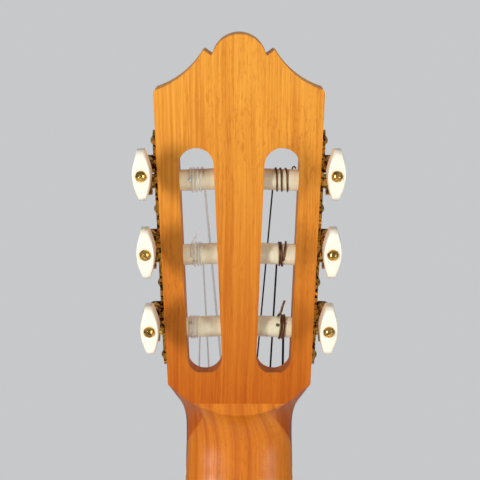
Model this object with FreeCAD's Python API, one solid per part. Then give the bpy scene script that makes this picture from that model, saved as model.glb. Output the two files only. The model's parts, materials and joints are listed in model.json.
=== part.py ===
import FreeCAD, Part

import math
import os

from FreeCAD import Vector as V

# Classical guitar with a slotted headstock. Millimetres, +Z up the neck, +Y out of the soundboard,
# +X towards the bass strings. The origin is on the neck's centre line, where the head's front face
# starts behind the nut.

# --- neck and fingerboard ---------------------------------------------------------------------
SCALE = 650.0                # open string length
NUT_THICKNESS = 5.0
NUT_FACE_Z = -NUT_THICKNESS  # the nut's face towards the frets: the scale starts here
NUT_WIDTH = 52.0
JOINT_WIDTH = 62.0           # fingerboard width at the twelfth fret
JOINT_Z = NUT_FACE_Z - SCALE / 2
BOARD_THICKNESS = 6.0
FRET_COUNT = 19
FRET_CROWN_WIDTH = 2.4
FRET_CROWN_HEIGHT = 1.1
NECK_DEPTH = 16.5            # neck shaft without its fingerboard, at the nut
NECK_DEPTH_GAIN = 2.0        # more depth at the heel
NECK_ROUNDNESS = 2.3         # superellipse exponent of the shaft's rounded back

# --- headstock --------------------------------------------------------------------------------
HEAD_TILT = 12.0             # degrees, tip backwards
HEAD_THICKNESS = 20.0        # with its veneer
VENEER = 2.5
SIDE_X = 31.47               # half width of the head where its side line crosses the nut line
SIDE_SLOPE = 0.0382          # half width gained for each mm towards the tip
SHOULDER_V = 183.6           # height of the outer shoulders above the nut line
FOOT_V = 47.2                # height where the sides end above the neck
LOBE_R = 12.5
LOBE_V = 197.1
NOTCH = (12.7, 200.3)
PEAK = (15.6, 202.4)
SWEEP_MIDDLE = (24.6, 192.1)
SCARF_V = 37.1               # the scarf joint's line on the back of the head
SLOT_X = 13.72               # slot centre line at the nut line
SLOT_R = 8.0
SLOT_LOW_V = 60.5            # centres of the slots' round ends
SLOT_HIGH_V = 150.7
RAMP_DEPTH = 9.5             # string ramp, at the slot's nut end
RAMP_V = 22.0                # where the ramp meets the front face
EASED_EDGE = 0.5

# --- tuning machines --------------------------------------------------------------------------
MACHINE_V = 107.7            # middle roller, on its slot's centre line
MACHINE_PITCH = 35.0
AXIS_DEPTH = 10.0            # roller axes below the head's front face
ROLLER_R = 4.9
BORE_CLEARANCE = 0.1
WEB_BORE = 6.0               # how far a roller's tip runs into the central web
PLATE = 1.5
PLATE_HALF_WIDTH = 7.5
PLATE_ABOVE = 23.8           # plate beyond the top and the bottom roller axes
PLATE_BELOW = 17.4
SPINDLE_R = 2.4
MODULE = 0.8
TEETH = 14
WORM_OUT = 5.4               # worm axis outboard of the head's side
WORM_UP = 8.2                # worm axis above the roller axis, towards the tip
WORM_CORE_R = 1.6
WORM_TIP_R = 3.2
WORM_HALF = 6.3
GEAR_HALF = 2.2
GEAR_TIP_R = 6.3
GEAR_ROOT_R = 4.65
JOURNAL_R = 1.5
JOURNAL_CLEARANCE = 0.08
EAR_INNER = 7.0              # bearing ears, from the roller's height to each side
EAR_THICKNESS = 1.4
SHAFT_R = 1.9
BUTTON_START = 21.0          # along the worm shaft, from the roller's height
BUTTON_END = 36.0
BUTTON_HALF_LENGTH = 11.1
BUTTON_HALF_WIDTH = 4.0
BUTTON_FLAT = 1.6            # half width of the button's cut ends
BUTTON_BASE = 6.5            # half length at the button's foot
BUTTON_EDGE = 0.7
PLATE_SCREW_DROP = 12.8      # a screw below each machine, and one above the top one
PLATE_SCREW_RISE = 19.0
PLATE_SCREW_R = 1.0

# --- body -------------------------------------------------------------------------------------
BODY_LENGTH = 488.0
UPPER_HALF, UPPER_R, UPPER_DROP = 140.0, 85.0, 95.0
WAIST_HALF, WAIST_R = 117.5, 149.0
LOWER_HALF, LOWER_R = 182.5, 108.0
DEPTH_AT_HEEL = 94.0
DEPTH_AT_TAIL = 100.0
PLATE_WOOD = 2.5             # soundboard and back
RIB = 2.0                    # sides
BINDING_DEPTH = 5.0
EDGE_ROUND = 1.2
LINING_WIDTH, LINING_DEPTH = 6.0, 14.0
HOLE_Z = -483.0
HOLE_R = 42.5
ROSETTE_IN, ROSETTE_OUT, ROSETTE_DEPTH = 46.0, 57.5, 1.0
BACK_STRIP_HALF = 4.0
BLOCK_HALF = 30.0

# --- bridge and strings -----------------------------------------------------------------------
SADDLE_Z = NUT_FACE_Z - SCALE - 1.5
SADDLE_TOP = 13.6
SADDLE_THICKNESS = 2.6
NUT_TOP = 8.4
BRIDGE_HALF, BRIDGE_CORE_HALF = 93.0, 41.0
BRIDGE_HEIGHT = 9.5
WING_HEIGHT = 3.5
BRIDGE_FRONT, BRIDGE_REAR = 5.5, 24.0      # from the saddle's centre line
TIE_FRONT, TIE_REAR = 8.5, 21.0
TIE_HOLE_Y = 4.6
NUT_SPREAD, SADDLE_SPREAD = 41.5, 58.0
# name, diameter, machine side, machine row from the nut, distance from the head's middle to where the
# string arrives, its turns (negative: they run inwards), and degrees its hole is turned up from the back
STRINGS = (
    ("e4", 0.71, -1, 0, 19.6, 5.0, 40.0),
    ("b3", 0.82, -1, 1, 16.8, 3.5, -31.0),
    ("g3", 1.02, -1, 2, 14.6, 5.0, 12.0),
    ("d3", 0.74, 1, 2, 14.4, 7.0, 95.0),
    ("a2", 0.89, 1, 1, 17.6, 2.0, -21.0),
    ("e2", 1.09, 1, 0, 22.8, -2.0, 24.0),
)
STRING_HOLE_R = 0.9
WINDING_GAP = 0.15

TILT = math.radians(HEAD_TILT)
SPLAY = math.atan(SIDE_SLOPE)
WORM_PITCH = math.pi * MODULE


# --- small helpers ----------------------------------------------------------------------------
def save(name, *solids):
    """Writes one node; several solids stay separate."""
    shape = solids[0] if len(solids) == 1 else Part.makeCompound(list(solids))
    bad = [s for s in shape.Solids if not s.isValid() or s.Volume <= 0]
    print(f"{name:24s} solids {len(shape.Solids):3d}  volume {shape.Volume:12.1f}  bad {len(bad)}")
    shape.exportStep(f"parts/{name}.step")


def box(x0, x1, y0, y1, z0, z1):
    return Part.makeBox(x1 - x0, y1 - y0, z1 - z0, V(x0, y0, z0))


def rod(start, end, radius):
    direction = end.sub(start)
    return Part.makeCylinder(radius, direction.Length, start, direction)


def arc(a, b, c):
    return Part.Arc(a, b, c).toShape()


def line(a, b):
    return Part.makeLine(a, b)


def filled(edges, direction):
    """The solid swept by a closed outline along a direction."""
    return Part.Face(Part.Wire(edges)).extrude(direction)


def polygon(points):
    return [line(a, b) for a, b in zip(points, points[1:] + points[:1])]


def fuse(shapes):
    return shapes[0].multiFuse(shapes[1:]).removeSplitter() if len(shapes) > 1 else shapes[0]


def tilted(shape):
    """From the head's own frame (its front face is y = 0, z runs to the tip) to the guitar's."""
    placed = shape.copy()
    placed.rotate(V(0, 0, 0), V(1, 0, 0), HEAD_TILT)
    return placed


def tilted_point(x, v, depth):
    s, c = math.sin(TILT), math.cos(TILT)
    return V(x, -v * s - depth * c, v * c - depth * s)


def mirrored(shape):
    return shape.mirror(V(0, 0, 0), V(1, 0, 0))


# --- headstock and neck -----------------------------------------------------------------------
def side_x(v):
    return SIDE_X + SIDE_SLOPE * v


def head_outline():
    """Crest, notches, peaks and swept shoulders, in the head's own frame."""
    right = []
    notch_angle = math.radians(14.5)
    lobe_end = V(LOBE_R * math.cos(notch_angle), 0, LOBE_V + LOBE_R * math.sin(notch_angle))
    notch = V(NOTCH[0], 0, NOTCH[1])
    peak = V(PEAK[0], 0, PEAK[1])
    sweep_start = V(PEAK[0] + 0.9, 0, PEAK[1] - 0.7)
    shoulder = V(side_x(SHOULDER_V), 0, SHOULDER_V)
    tip_of_sweep = V(shoulder.x - 0.6, 0, SHOULDER_V + 1.1)
    foot = V(side_x(FOOT_V), 0, FOOT_V)
    middle = V(SWEEP_MIDDLE[0], 0, SWEEP_MIDDLE[1])
    right.append(line(lobe_end, notch))
    right.append(line(notch, peak))
    right.append(line(peak, sweep_start))
    right.append(arc(sweep_start, middle, tip_of_sweep))
    right.append(line(tip_of_sweep, shoulder))
    right.append(line(shoulder, foot))
    left = [mirrored(edge) for edge in right]
    lobe = arc(lobe_end, V(0, 0, LOBE_V + LOBE_R), V(-lobe_end.x, 0, lobe_end.z))
    base = line(foot, V(-foot.x, 0, foot.z))
    return Part.Wire(Part.__sortEdges__(right + left + [lobe, base]))


def head_slab(depth0, depth1):
    face = Part.Face(head_outline())
    face.translate(V(0, -depth0, 0))
    slab = face.extrude(V(0, depth0 - depth1, 0))
    return slab.cut(Part.makeCompound([slot_cutter(side, SLOT_LOW_V, SLOT_HIGH_V, depth0 - 2, depth1 + 2)
                                       for side in (1, -1)]))


def eased(slab):
    """Rounds a slab's edges on its front face, but not its foot, which meets the neck."""
    edges = [e for e in slab.Edges if e.BoundBox.YMin > -0.01 and e.BoundBox.ZMax > FOOT_V + 0.5]
    return slab.makeFillet(EASED_EDGE, edges)


# where the neck grows into the head: half width and centre depth, at even steps up from the nut
SWEEP_START_Z, SWEEP_STEP = -6.0, 6.0
SWEEP_STATIONS = (
    (26.0, 16.55), (25.85, 16.5), (25.75, 16.5), (25.65, 17.0), (25.7, 18.9),
    (26.0, 22.7), (27.4, 30.4), (31.3, 44.5), (36.2, 59.0), (41.4, 74.0),
)


def neck_section(z, half_width, depth):
    """A flat front and a superelliptic back, as one closed wire at height z."""
    steps = 14
    power = 2 / NECK_ROUNDNESS
    points = []
    for i in range(steps + 1):
        a = math.pi * i / steps
        x = half_width * math.copysign(abs(math.cos(a)) ** power, math.cos(a))
        points.append(V(x, -depth * math.sin(a) ** power if 0 < i < steps else 0, z))
    back = Part.BSplineCurve()
    back.interpolate(points)
    return Part.Wire([back.toShape(), line(points[-1], points[0])])


def board_half_width(z):
    return (NUT_WIDTH + (JOINT_WIDTH - NUT_WIDTH) * (NUT_FACE_Z - z) / (SCALE / 2)) / 2


def shaft_blank():
    """The straight taper from the body up to the nut."""
    low_z = JOINT_Z - 6
    low = neck_section(low_z, board_half_width(low_z), NECK_DEPTH + NECK_DEPTH_GAIN)
    high = neck_section(SWEEP_START_Z, *SWEEP_STATIONS[0])
    return Part.makeLoft([low, high], True, True)


def sweep_blank():
    """The shaft's back sweeping out to the head, before the head's planes cut it."""
    levels = [SWEEP_START_Z + SWEEP_STEP * i for i in range(len(SWEEP_STATIONS))]
    sections = [neck_section(z, *station) for z, station in zip(levels, SWEEP_STATIONS)]
    return Part.makeLoft(sections, True, False)


def heel():
    """The heel narrows from the shaft down to its cap; its foot is flat against the body."""
    wires = []
    for y, half_width, reach in (
        (-9.0, 30.5, 60.0), (-17.0, 28.6, 46.0), (-24.0, 23.6, 33.0), (-34.0, 19.2, 25.0),
        (-50.0, 15.4, 19.5), (-70.0, 13.2, 16.5), (-DEPTH_AT_HEEL + 2.4, 12.4, 15.4),
    ):
        base_z = JOINT_Z - 6
        side_a = V(half_width, y, base_z)
        side_b = V(-half_width, y, base_z)
        shoulder_a = V(half_width * 0.97, y, JOINT_Z + reach * 0.25)
        shoulder_b = V(-half_width * 0.97, y, JOINT_Z + reach * 0.25)
        cap = Part.BSplineCurve()
        cap.interpolate([side_a, shoulder_a, V(half_width * 0.62, y, JOINT_Z + reach * 0.78),
                         V(0, y, JOINT_Z + reach), V(-half_width * 0.62, y, JOINT_Z + reach * 0.78),
                         shoulder_b, side_b])
        wires.append(Part.Wire([cap.toShape(), line(side_b, side_a)]))
    return Part.makeLoft(wires, True, False)


def slot_cutter(side, low_v, high_v, depth0, depth1):
    """A round-ended slot parallel to the head's side."""
    slope = V(SIDE_SLOPE, 0, 1).normalize()
    across = V(slope.z, 0, -slope.x).multiply(SLOT_R)
    low = V(SLOT_X + SIDE_SLOPE * low_v, -depth0, low_v)
    high = V(SLOT_X + SIDE_SLOPE * high_v, -depth0, high_v)
    reach = V(slope).multiply(SLOT_R)
    edges = [
        line(low + across, high + across),
        arc(high + across, high + reach, high - across),
        line(high - across, low - across),
        arc(low - across, low - reach, low + across),
    ]
    cutter = filled(edges, V(0, depth0 - depth1, 0))
    return cutter if side > 0 else mirrored(cutter)


def ramp_cutter(side):
    """The string ramp: a slot run on towards the nut, above a plane that climbs to the front."""
    run = slot_cutter(side, RAMP_V - 2, SLOT_LOW_V, -5.0, RAMP_DEPTH + 4)
    low_end = SLOT_LOW_V - SLOT_R
    keep = filled(polygon([
        V(0, 6, RAMP_V - 20), V(0, 0, RAMP_V), V(0, -RAMP_DEPTH, low_end),
        V(0, -RAMP_DEPTH, SLOT_LOW_V + 10), V(0, 6, SLOT_LOW_V + 10),
    ]), V(80, 0, 0))
    keep.translate(V(-40, 0, 0))
    return run.common(keep)


def head_cutters():
    """String ramps, roller bores and screw holes, in the head's own frame."""
    cutters = []
    for side in (1, -1):
        cutters.append(ramp_cutter(side))
    for side in (1, -1):
        for row in range(3):
            reach = roller_reach() + 0.3
            bore = rod(V(2, 0, 0), V(-reach, 0, 0), ROLLER_R + BORE_CLEARANCE)
            cutters.append(on_head(bore, side, row))
        for up in screw_heights():
            hole = rod(V(2, up, 0), V(-8.0, up, 0), PLATE_SCREW_R)
            cutters.append(on_head(hole, side, 1))
    return cutters


def above_nut_line():
    return box(-60, 60, -80, 20, 0, 260)


def between_sides():
    """The space between the head's two side planes."""
    low, high = -60, 260
    return filled(polygon([
        V(side_x(low), 20, low), V(side_x(high), 20, high),
        V(-side_x(high), 20, high), V(-side_x(low), 20, low),
    ]), V(0, -160, 0))


def head_and_neck():
    """Headstock, veneer and neck shaft, cut from one smooth volume along the scarf joint."""
    behind = tilted(box(-60, 60, -160, -HEAD_THICKNESS, -60, 260))
    in_front = tilted(box(-60, 60, -VENEER, 60, -60, 260)).common(above_nut_line())
    sweep = sweep_blank().cut(behind).common(tilted(between_sides()))
    veneer_room = in_front.common(tilted(box(-60, 60, -60, 0, -60, FOOT_V)))
    cutters = [tilted(c) for c in head_cutters()]
    ramps = Part.makeCompound(cutters[:2])
    front_slab = tilted(eased(head_slab(0, VENEER)))
    veneer = fuse([front_slab, sweep.common(veneer_room)]).cut(ramps)
    low_slab = tilted(head_slab(VENEER, HEAD_THICKNESS))
    wood = fuse([sweep.cut(in_front), low_slab]).cut(Part.makeCompound(cutters))
    scarf = filled(polygon([
        tilted_point(0, 4.0, -4.0), tilted_point(0, SCARF_V + 4.0, HEAD_THICKNESS + 2.2),
        V(0, -140, 60), V(0, -140, 300), V(0, 60, 300),
    ]), V(160, 0, 0))
    scarf.translate(V(-80, 0, 0))
    shaft = fuse([wood.cut(scarf), shaft_blank(), heel()]).cut(body_prism(0, -140, 0))
    return wood.common(scarf), veneer, shaft


# --- fingerboard ------------------------------------------------------------------------------
def fret_z(number):
    return NUT_FACE_Z - SCALE * (1 - 2 ** (-number / 12))


def board_end_z():
    return fret_z(FRET_COUNT) - 4.0


def make_fingerboard():
    end_z = board_end_z()
    a, b = board_half_width(NUT_FACE_Z), board_half_width(end_z)
    corners = [V(-a, 0, NUT_FACE_Z), V(a, 0, NUT_FACE_Z), V(b, 0, end_z), V(-b, 0, end_z)]
    board = filled(polygon(corners), V(0, BOARD_THICKNESS, 0))
    # the board's end follows the edge of the soundhole
    board = board.cut(rod(V(0, -1, HOLE_Z), V(0, 20, HOLE_Z), HOLE_R + 1.5))
    tangs = [box(-40, 40, BOARD_THICKNESS - 1.6, BOARD_THICKNESS + 1, fret_z(n) - 0.3, fret_z(n) + 0.3)
             for n in range(1, FRET_COUNT + 1)]
    return board.cut(Part.makeCompound(tangs))


def make_fret(number):
    """A low round crown on a thin tang."""
    z = fret_z(number)
    half = board_half_width(z) - 0.5
    r = (FRET_CROWN_WIDTH ** 2 / 4 + FRET_CROWN_HEIGHT ** 2) / (2 * FRET_CROWN_HEIGHT)
    crown = rod(V(-half, BOARD_THICKNESS + FRET_CROWN_HEIGHT - r, z),
                V(half, BOARD_THICKNESS + FRET_CROWN_HEIGHT - r, z), r)
    crown = crown.common(box(-half, half, BOARD_THICKNESS, BOARD_THICKNESS + 4, z - 3, z + 3))
    tang = box(-half, half, BOARD_THICKNESS - 1.5, BOARD_THICKNESS, z - 0.3, z + 0.3)
    fret = crown.fuse(tang)
    return fret.cut(rod(V(0, -1, HOLE_Z), V(0, 20, HOLE_Z), HOLE_R + 2.5))


def make_nut(strings):
    half = NUT_WIDTH / 2
    profile = [V(-half, 0, NUT_FACE_Z), V(-half, NUT_TOP + 0.3, NUT_FACE_Z),
               V(-half, NUT_TOP - 0.8, -0.4), V(-half, 0, 0)]
    nut = filled(polygon(profile), V(2 * half, 0, 0))
    return nut.cut(Part.makeCompound(strings))


# --- body -------------------------------------------------------------------------------------
def half_outline_circles():
    """Circles of the half outline from tail to heel: centre x, centre drop, radius, sign."""
    upper = (UPPER_HALF - UPPER_R, UPPER_DROP)
    waist_x = WAIST_HALF + WAIST_R
    waist_drop = upper[1] + math.sqrt((WAIST_R + UPPER_R) ** 2 - (waist_x - upper[0]) ** 2)
    lower_x = LOWER_HALF - LOWER_R
    lower_drop = waist_drop + math.sqrt((WAIST_R + LOWER_R) ** 2 - (waist_x - lower_x) ** 2)
    below = BODY_LENGTH - lower_drop
    tail_r = (lower_x ** 2 + below ** 2 - LOWER_R ** 2) / (2 * (below - LOWER_R))
    top_r = (upper[0] ** 2 + upper[1] ** 2 - UPPER_R ** 2) / (2 * (upper[1] - UPPER_R))
    return (
        (0.0, BODY_LENGTH - tail_r, tail_r, 1),
        (lower_x, lower_drop, LOWER_R, 1),
        (waist_x, waist_drop, WAIST_R, -1),
        (upper[0], upper[1], UPPER_R, 1),
        (0.0, top_r, top_r, 1),
    )


def touching_point(a, b):
    """Where two neighbouring circles of the outline touch."""
    dx, dz = b[0] - a[0], b[1] - a[1]
    distance = math.hypot(dx, dz)
    reach = a[2] if (a[3] != b[3] or a[2] > b[2]) else -a[2]
    return a[0] + dx / distance * reach, a[1] + dz / distance * reach


def body_outline(inset):
    """The body's outline, moved inwards, as tangent arcs."""
    circles = half_outline_circles()
    joints = [(0.0, BODY_LENGTH)]
    joints += [touching_point(a, b) for a, b in zip(circles, circles[1:])]
    joints.append((0.0, 0.0))
    edges = []
    for (cx, cz, r, sign), p, q in zip(circles, joints, joints[1:]):
        radius = r - sign * inset
        directions = [V(x - cx, 0, z - cz).normalize() for x, z in (p, q)]
        middle = (directions[0] + directions[1]).normalize()
        ends = [V(cx, 0, cz) + V(d).multiply(radius) for d in (directions[0], middle, directions[1])]
        points = [V(e.x, 0, JOINT_Z - e.z) for e in ends]
        edges.append(arc(*points))
    edges += [mirrored(e) for e in edges]
    return Part.Wire(Part.__sortEdges__(edges))


def body_prism(inset, y0, y1):
    face = Part.Face(body_outline(inset))
    face.translate(V(0, y0, 0))
    return face.extrude(V(0, y1 - y0, 0))


def back_y(z, inset):
    drop = JOINT_Z - z
    return -DEPTH_AT_HEEL - (DEPTH_AT_TAIL - DEPTH_AT_HEEL) * drop / BODY_LENGTH + inset


def back_layer(inset0, inset1):
    """The slab between two planes parallel to the body's slanting back."""
    top, bottom = JOINT_Z + 40, JOINT_Z - BODY_LENGTH - 40
    slab = filled(polygon([
        V(-250, back_y(top, inset0), top), V(-250, back_y(bottom, inset0), bottom),
        V(-250, back_y(bottom, inset1), bottom), V(-250, back_y(top, inset1), top),
    ]), V(500, 0, 0))
    return slab


def half_space(side):
    return box(0, 300, -200, 100, -900, -200) if side > 0 else box(-300, 0, -200, 100, -900, -200)


def rib_ring(inset0, inset1, y0, y1):
    return body_prism(inset0, y0, y1).cut(body_prism(inset1, y0 - 1, y1 + 1))


def make_soundboard(side):
    """One book-matched half of the soundboard."""
    board = body_prism(RIB, -PLATE_WOOD, 0).common(half_space(side))
    board = board.cut(rod(V(0, -10, HOLE_Z), V(0, 10, HOLE_Z), HOLE_R))
    return board.cut(rosette_ring())


def rosette_ring():
    ring = rod(V(0, -ROSETTE_DEPTH, HOLE_Z), V(0, 0, HOLE_Z), ROSETTE_OUT)
    return ring.cut(rod(V(0, -5, HOLE_Z), V(0, 5, HOLE_Z), ROSETTE_IN))


def is_outer(edge):
    """True where an edge of the binding lies on the body's outermost outline."""
    middle = edge.valueAt((edge.FirstParameter + edge.LastParameter) / 2)
    distance = Part.Vertex(V(middle.x, 0, middle.z)).distToShape(body_outline(0))[0]
    return distance < 0.05


def on_back(edge):
    return all(abs(v.Point.y - back_y(v.Point.z, 0)) < 0.05 for v in edge.Vertexes)


def make_bindings():
    front = rib_ring(0, RIB, -BINDING_DEPTH, 0)
    rim = [e for e in front.Edges if e.BoundBox.YMin > -0.01 and is_outer(e)]
    back = rib_ring(0, RIB, -120, -60).common(back_layer(0, BINDING_DEPTH))
    foot = [e for e in back.Edges if is_outer(e) and on_back(e)]
    return front.makeFillet(EDGE_ROUND, rim), back.makeFillet(EDGE_ROUND, foot)


def make_side(side):
    ring = rib_ring(0, RIB, -110, -BINDING_DEPTH).common(half_space(side))
    return ring.cut(back_layer(-30, BINDING_DEPTH))


def clear_of_blocks():
    """Room for the neck block and the tail block."""
    tail = JOINT_Z - BODY_LENGTH
    return Part.makeCompound([
        box(-BLOCK_HALF, BLOCK_HALF, -120, 10, JOINT_Z - 34, JOINT_Z + 10),
        box(-BLOCK_HALF, BLOCK_HALF, -120, 10, tail - 10, tail + 18),
    ])


def make_linings():
    outer = RIB + LINING_WIDTH
    front = rib_ring(RIB, outer, -PLATE_WOOD - LINING_DEPTH, -PLATE_WOOD)
    back = rib_ring(RIB, outer, -120, -60).common(
        back_layer(PLATE_WOOD, PLATE_WOOD + LINING_DEPTH))
    blocks = clear_of_blocks()
    return [s for ring in (front, back) for s in ring.cut(blocks).Solids]


def make_block(z0, z1):
    block = box(-BLOCK_HALF, BLOCK_HALF, -120, -PLATE_WOOD, z0, z1)
    return block.common(body_prism(RIB, -130, 0)).cut(back_layer(-40, PLATE_WOOD))


def make_back(side):
    """One book-matched half of the back; the strip lies between the halves."""
    half = body_prism(RIB, -120, -60).common(back_layer(0, PLATE_WOOD)).common(half_space(side))
    return half.cut(box(-BACK_STRIP_HALF, BACK_STRIP_HALF, -130, 0, -900, -200))


def make_back_strip():
    strip = body_prism(RIB, -120, -60).common(back_layer(0, PLATE_WOOD))
    return strip.common(box(-BACK_STRIP_HALF, BACK_STRIP_HALF, -130, 0, -900, -200))


def bar(start, end, width, height, y_glued, inward):
    """A straight brace on edge, with a rounded top, glued along y = y_glued."""
    run = end.sub(start)
    length = run.Length
    y_top = height * inward
    profile = Part.Wire([
        line(V(-width / 2, 0, 0), V(width / 2, 0, 0)),
        line(V(width / 2, 0, 0), V(width / 2, y_top * 0.7, 0)),
        arc(V(width / 2, y_top * 0.7, 0), V(0, y_top, 0), V(-width / 2, y_top * 0.7, 0)),
        line(V(-width / 2, y_top * 0.7, 0), V(-width / 2, 0, 0)),
    ])
    solid = Part.Face(profile).extrude(V(0, 0, length))
    solid.rotate(V(0, 0, 0), V(0, 1, 0), math.degrees(math.atan2(run.x, run.z)))
    solid.translate(V(start.x, y_glued, start.z))
    return solid


def make_soundboard_braces():
    """Two cross bars about the hole, two closing bars and seven fan braces."""
    inner = body_prism(RIB + LINING_WIDTH + 0.5, -60, 0)
    braces = []
    for z, width, height in ((HOLE_Z + 58, 8, 16), (HOLE_Z - 60, 8, 16)):
        cross = bar(V(-180, 0, z), V(180, 0, z), width, height, -PLATE_WOOD, -1)
        braces.append(cross.common(inner))
    fan_top = HOLE_Z - 66
    for k in range(-3, 4):
        foot_x = k * 34.0
        foot_z = JOINT_Z - BODY_LENGTH + 66 + abs(k) * 9.0
        fan = bar(V(k * 13.5, 0, fan_top), V(foot_x, 0, foot_z), 5, 5, -PLATE_WOOD, -1)
        braces.append(fan)
    for side in (1, -1):
        closing = bar(V(side * 8, 0, JOINT_Z - BODY_LENGTH + 34),
                      V(side * 104, 0, JOINT_Z - BODY_LENGTH + 84), 5, 5, -PLATE_WOOD, -1)
        braces.append(closing)
    return braces


def make_back_braces():
    """Three cross bars on the back and the grafts along its centre joint."""
    inner = body_prism(RIB + LINING_WIDTH + 0.5, -120, -40)
    bars = []
    levels = (JOINT_Z - 110, JOINT_Z - 225, JOINT_Z - 355)
    for z in levels:
        cross = bar(V(-180, 0, z), V(180, 0, z), 7, 14, back_y(z, PLATE_WOOD), 1)
        bars.append(cross.common(inner).cut(back_layer(-20, PLATE_WOOD)))
    ends = [JOINT_Z - 36, *levels, JOINT_Z - BODY_LENGTH + 20]
    for a, b in zip(ends, ends[1:]):
        graft = box(-8, 8, -120, -60, b + 4, a - 4).common(back_layer(PLATE_WOOD, PLATE_WOOD + 2))
        bars.append(graft)
    return bars


def make_bridge_patch():
    patch = box(-88, 88, -PLATE_WOOD - 1.5, -PLATE_WOOD, SADDLE_Z - 24, SADDLE_Z + 6)
    return patch.cut(Part.makeCompound(make_soundboard_braces()))


def make_heel_cap():
    cap = heel_foot_outline().extrude(V(0, -2.4, 0))
    return cap.cut(body_prism(0, -140, 0))


def heel_foot_outline():
    y = -DEPTH_AT_HEEL + 2.4
    foot = heel().slice(V(0, 1, 0), y + 0.001)
    face = Part.Face(foot[0])
    face.translate(V(0, -0.001, 0))
    return face


# --- bridge -----------------------------------------------------------------------------------
def make_bridge(strings):
    front, rear = SADDLE_Z + BRIDGE_FRONT, SADDLE_Z - BRIDGE_REAR
    core = filled(polygon([
        V(-BRIDGE_CORE_HALF, 0, front), V(-BRIDGE_CORE_HALF, BRIDGE_HEIGHT - 1.5, front),
        V(-BRIDGE_CORE_HALF, BRIDGE_HEIGHT, front - 1.5), V(-BRIDGE_CORE_HALF, BRIDGE_HEIGHT, SADDLE_Z - 2.1),
        V(-BRIDGE_CORE_HALF, 3.2, SADDLE_Z - 6.0), V(-BRIDGE_CORE_HALF, 3.2, SADDLE_Z - TIE_FRONT),
        V(-BRIDGE_CORE_HALF, BRIDGE_HEIGHT, SADDLE_Z - TIE_FRONT),
        V(-BRIDGE_CORE_HALF, BRIDGE_HEIGHT, SADDLE_Z - TIE_REAR),
        V(-BRIDGE_CORE_HALF, 0, rear),
    ]), V(2 * BRIDGE_CORE_HALF, 0, 0))
    wings = box(-BRIDGE_HALF, BRIDGE_HALF, 0, WING_HEIGHT, rear + 1, front - 1)
    wings = wings.makeFillet(1.2, [e for e in wings.Edges if e.BoundBox.YMin > WING_HEIGHT - 0.01])
    bridge = core.fuse(wings)
    bridge = bridge.cut(saddle_blank())
    holes = [rod(V(s["saddle_x"], TIE_HOLE_Y, SADDLE_Z - 3), V(s["saddle_x"], TIE_HOLE_Y, rear - 3), 0.95)
             for s in strings]
    return bridge.cut(Part.makeCompound(holes))


def saddle_blank():
    half = BRIDGE_CORE_HALF - 0.8
    return box(-half, half, 4.0, SADDLE_TOP, SADDLE_Z - SADDLE_THICKNESS / 2, SADDLE_Z + SADDLE_THICKNESS / 2)


def make_saddle(string_solids):
    blank = saddle_blank()
    top = [e for e in blank.Edges
           if e.BoundBox.YMin > SADDLE_TOP - 0.01 and e.BoundBox.XLength > 10]
    return blank.makeFillet(1.1, top).cut(Part.makeCompound(string_solids))


# --- tuning machines, in each machine's own frame ---------------------------------------------
# x runs outwards along the roller's axis from the head's side, y towards the tip, z backwards.
def on_head(shape, side, row):
    """From a machine's frame to the head's own frame; the treble side is a mirror image."""
    middle_x = side_x(MACHINE_V)
    slot_x = SLOT_X + SIDE_SLOPE * MACHINE_V
    middle_v = MACHINE_V - (middle_x - slot_x) * SIDE_SLOPE
    shift = (row - 1) * MACHINE_PITCH
    out = V(math.cos(SPLAY), 0, -math.sin(SPLAY))
    up = V(math.sin(SPLAY), 0, math.cos(SPLAY))
    back = V(0, -1, 0)
    base = V(side_x(middle_v), -AXIS_DEPTH, middle_v) + V(up).multiply(shift)
    matrix = FreeCAD.Matrix(out.x, up.x, back.x, base.x, out.y, up.y, back.y, base.y,
                            out.z, up.z, back.z, base.z, 0, 0, 0, 1)
    placed = shape.copy()
    placed.Placement = FreeCAD.Placement(matrix).multiply(placed.Placement)
    return placed if side > 0 else mirrored(placed)


def machine(shape, side, row):
    return tilted(on_head(shape, side, row))


def machine_point(x, y, z, side, row):
    """A point given in a machine's frame, in the guitar's frame."""
    return machine(Part.Vertex(x, y, z), side, row).Vertexes[0].Point


def roller_reach():
    """From the head's side to the roller's tip inside the central web."""
    rail = side_x(0) - SLOT_X - SLOT_R
    return rail + 2 * SLOT_R + WEB_BORE


def screw_heights():
    heights = [-MACHINE_PITCH - PLATE_SCREW_DROP, -PLATE_SCREW_DROP, MACHINE_PITCH - PLATE_SCREW_DROP]
    return heights + [MACHINE_PITCH + PLATE_SCREW_RISE]


def make_roller(string):
    """A plain roller with a bored end and one string hole beside the last turn."""
    reach = roller_reach()
    roller = rod(V(-reach, 0, 0), V(-0.2, 0, 0), ROLLER_R)
    rim = [e for e in roller.Edges if e.BoundBox.XMax < -reach + 0.01]
    roller = roller.makeChamfer(0.6, rim)
    roller = roller.cut(rod(V(-7, 0, 0), V(1, 0, 0), SPINDLE_R))
    _, diameter, _, _, _, turns, hole_turn = string
    hole_x = arrival_x(string) + diameter * (turns + math.copysign(1.2, turns))
    hole = rod(V(hole_x, 0, -8), V(hole_x, 0, 8), STRING_HOLE_R)
    hole.rotate(V(0, 0, 0), V(-1, 0, 0), hole_turn)
    return roller.cut(hole)


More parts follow.
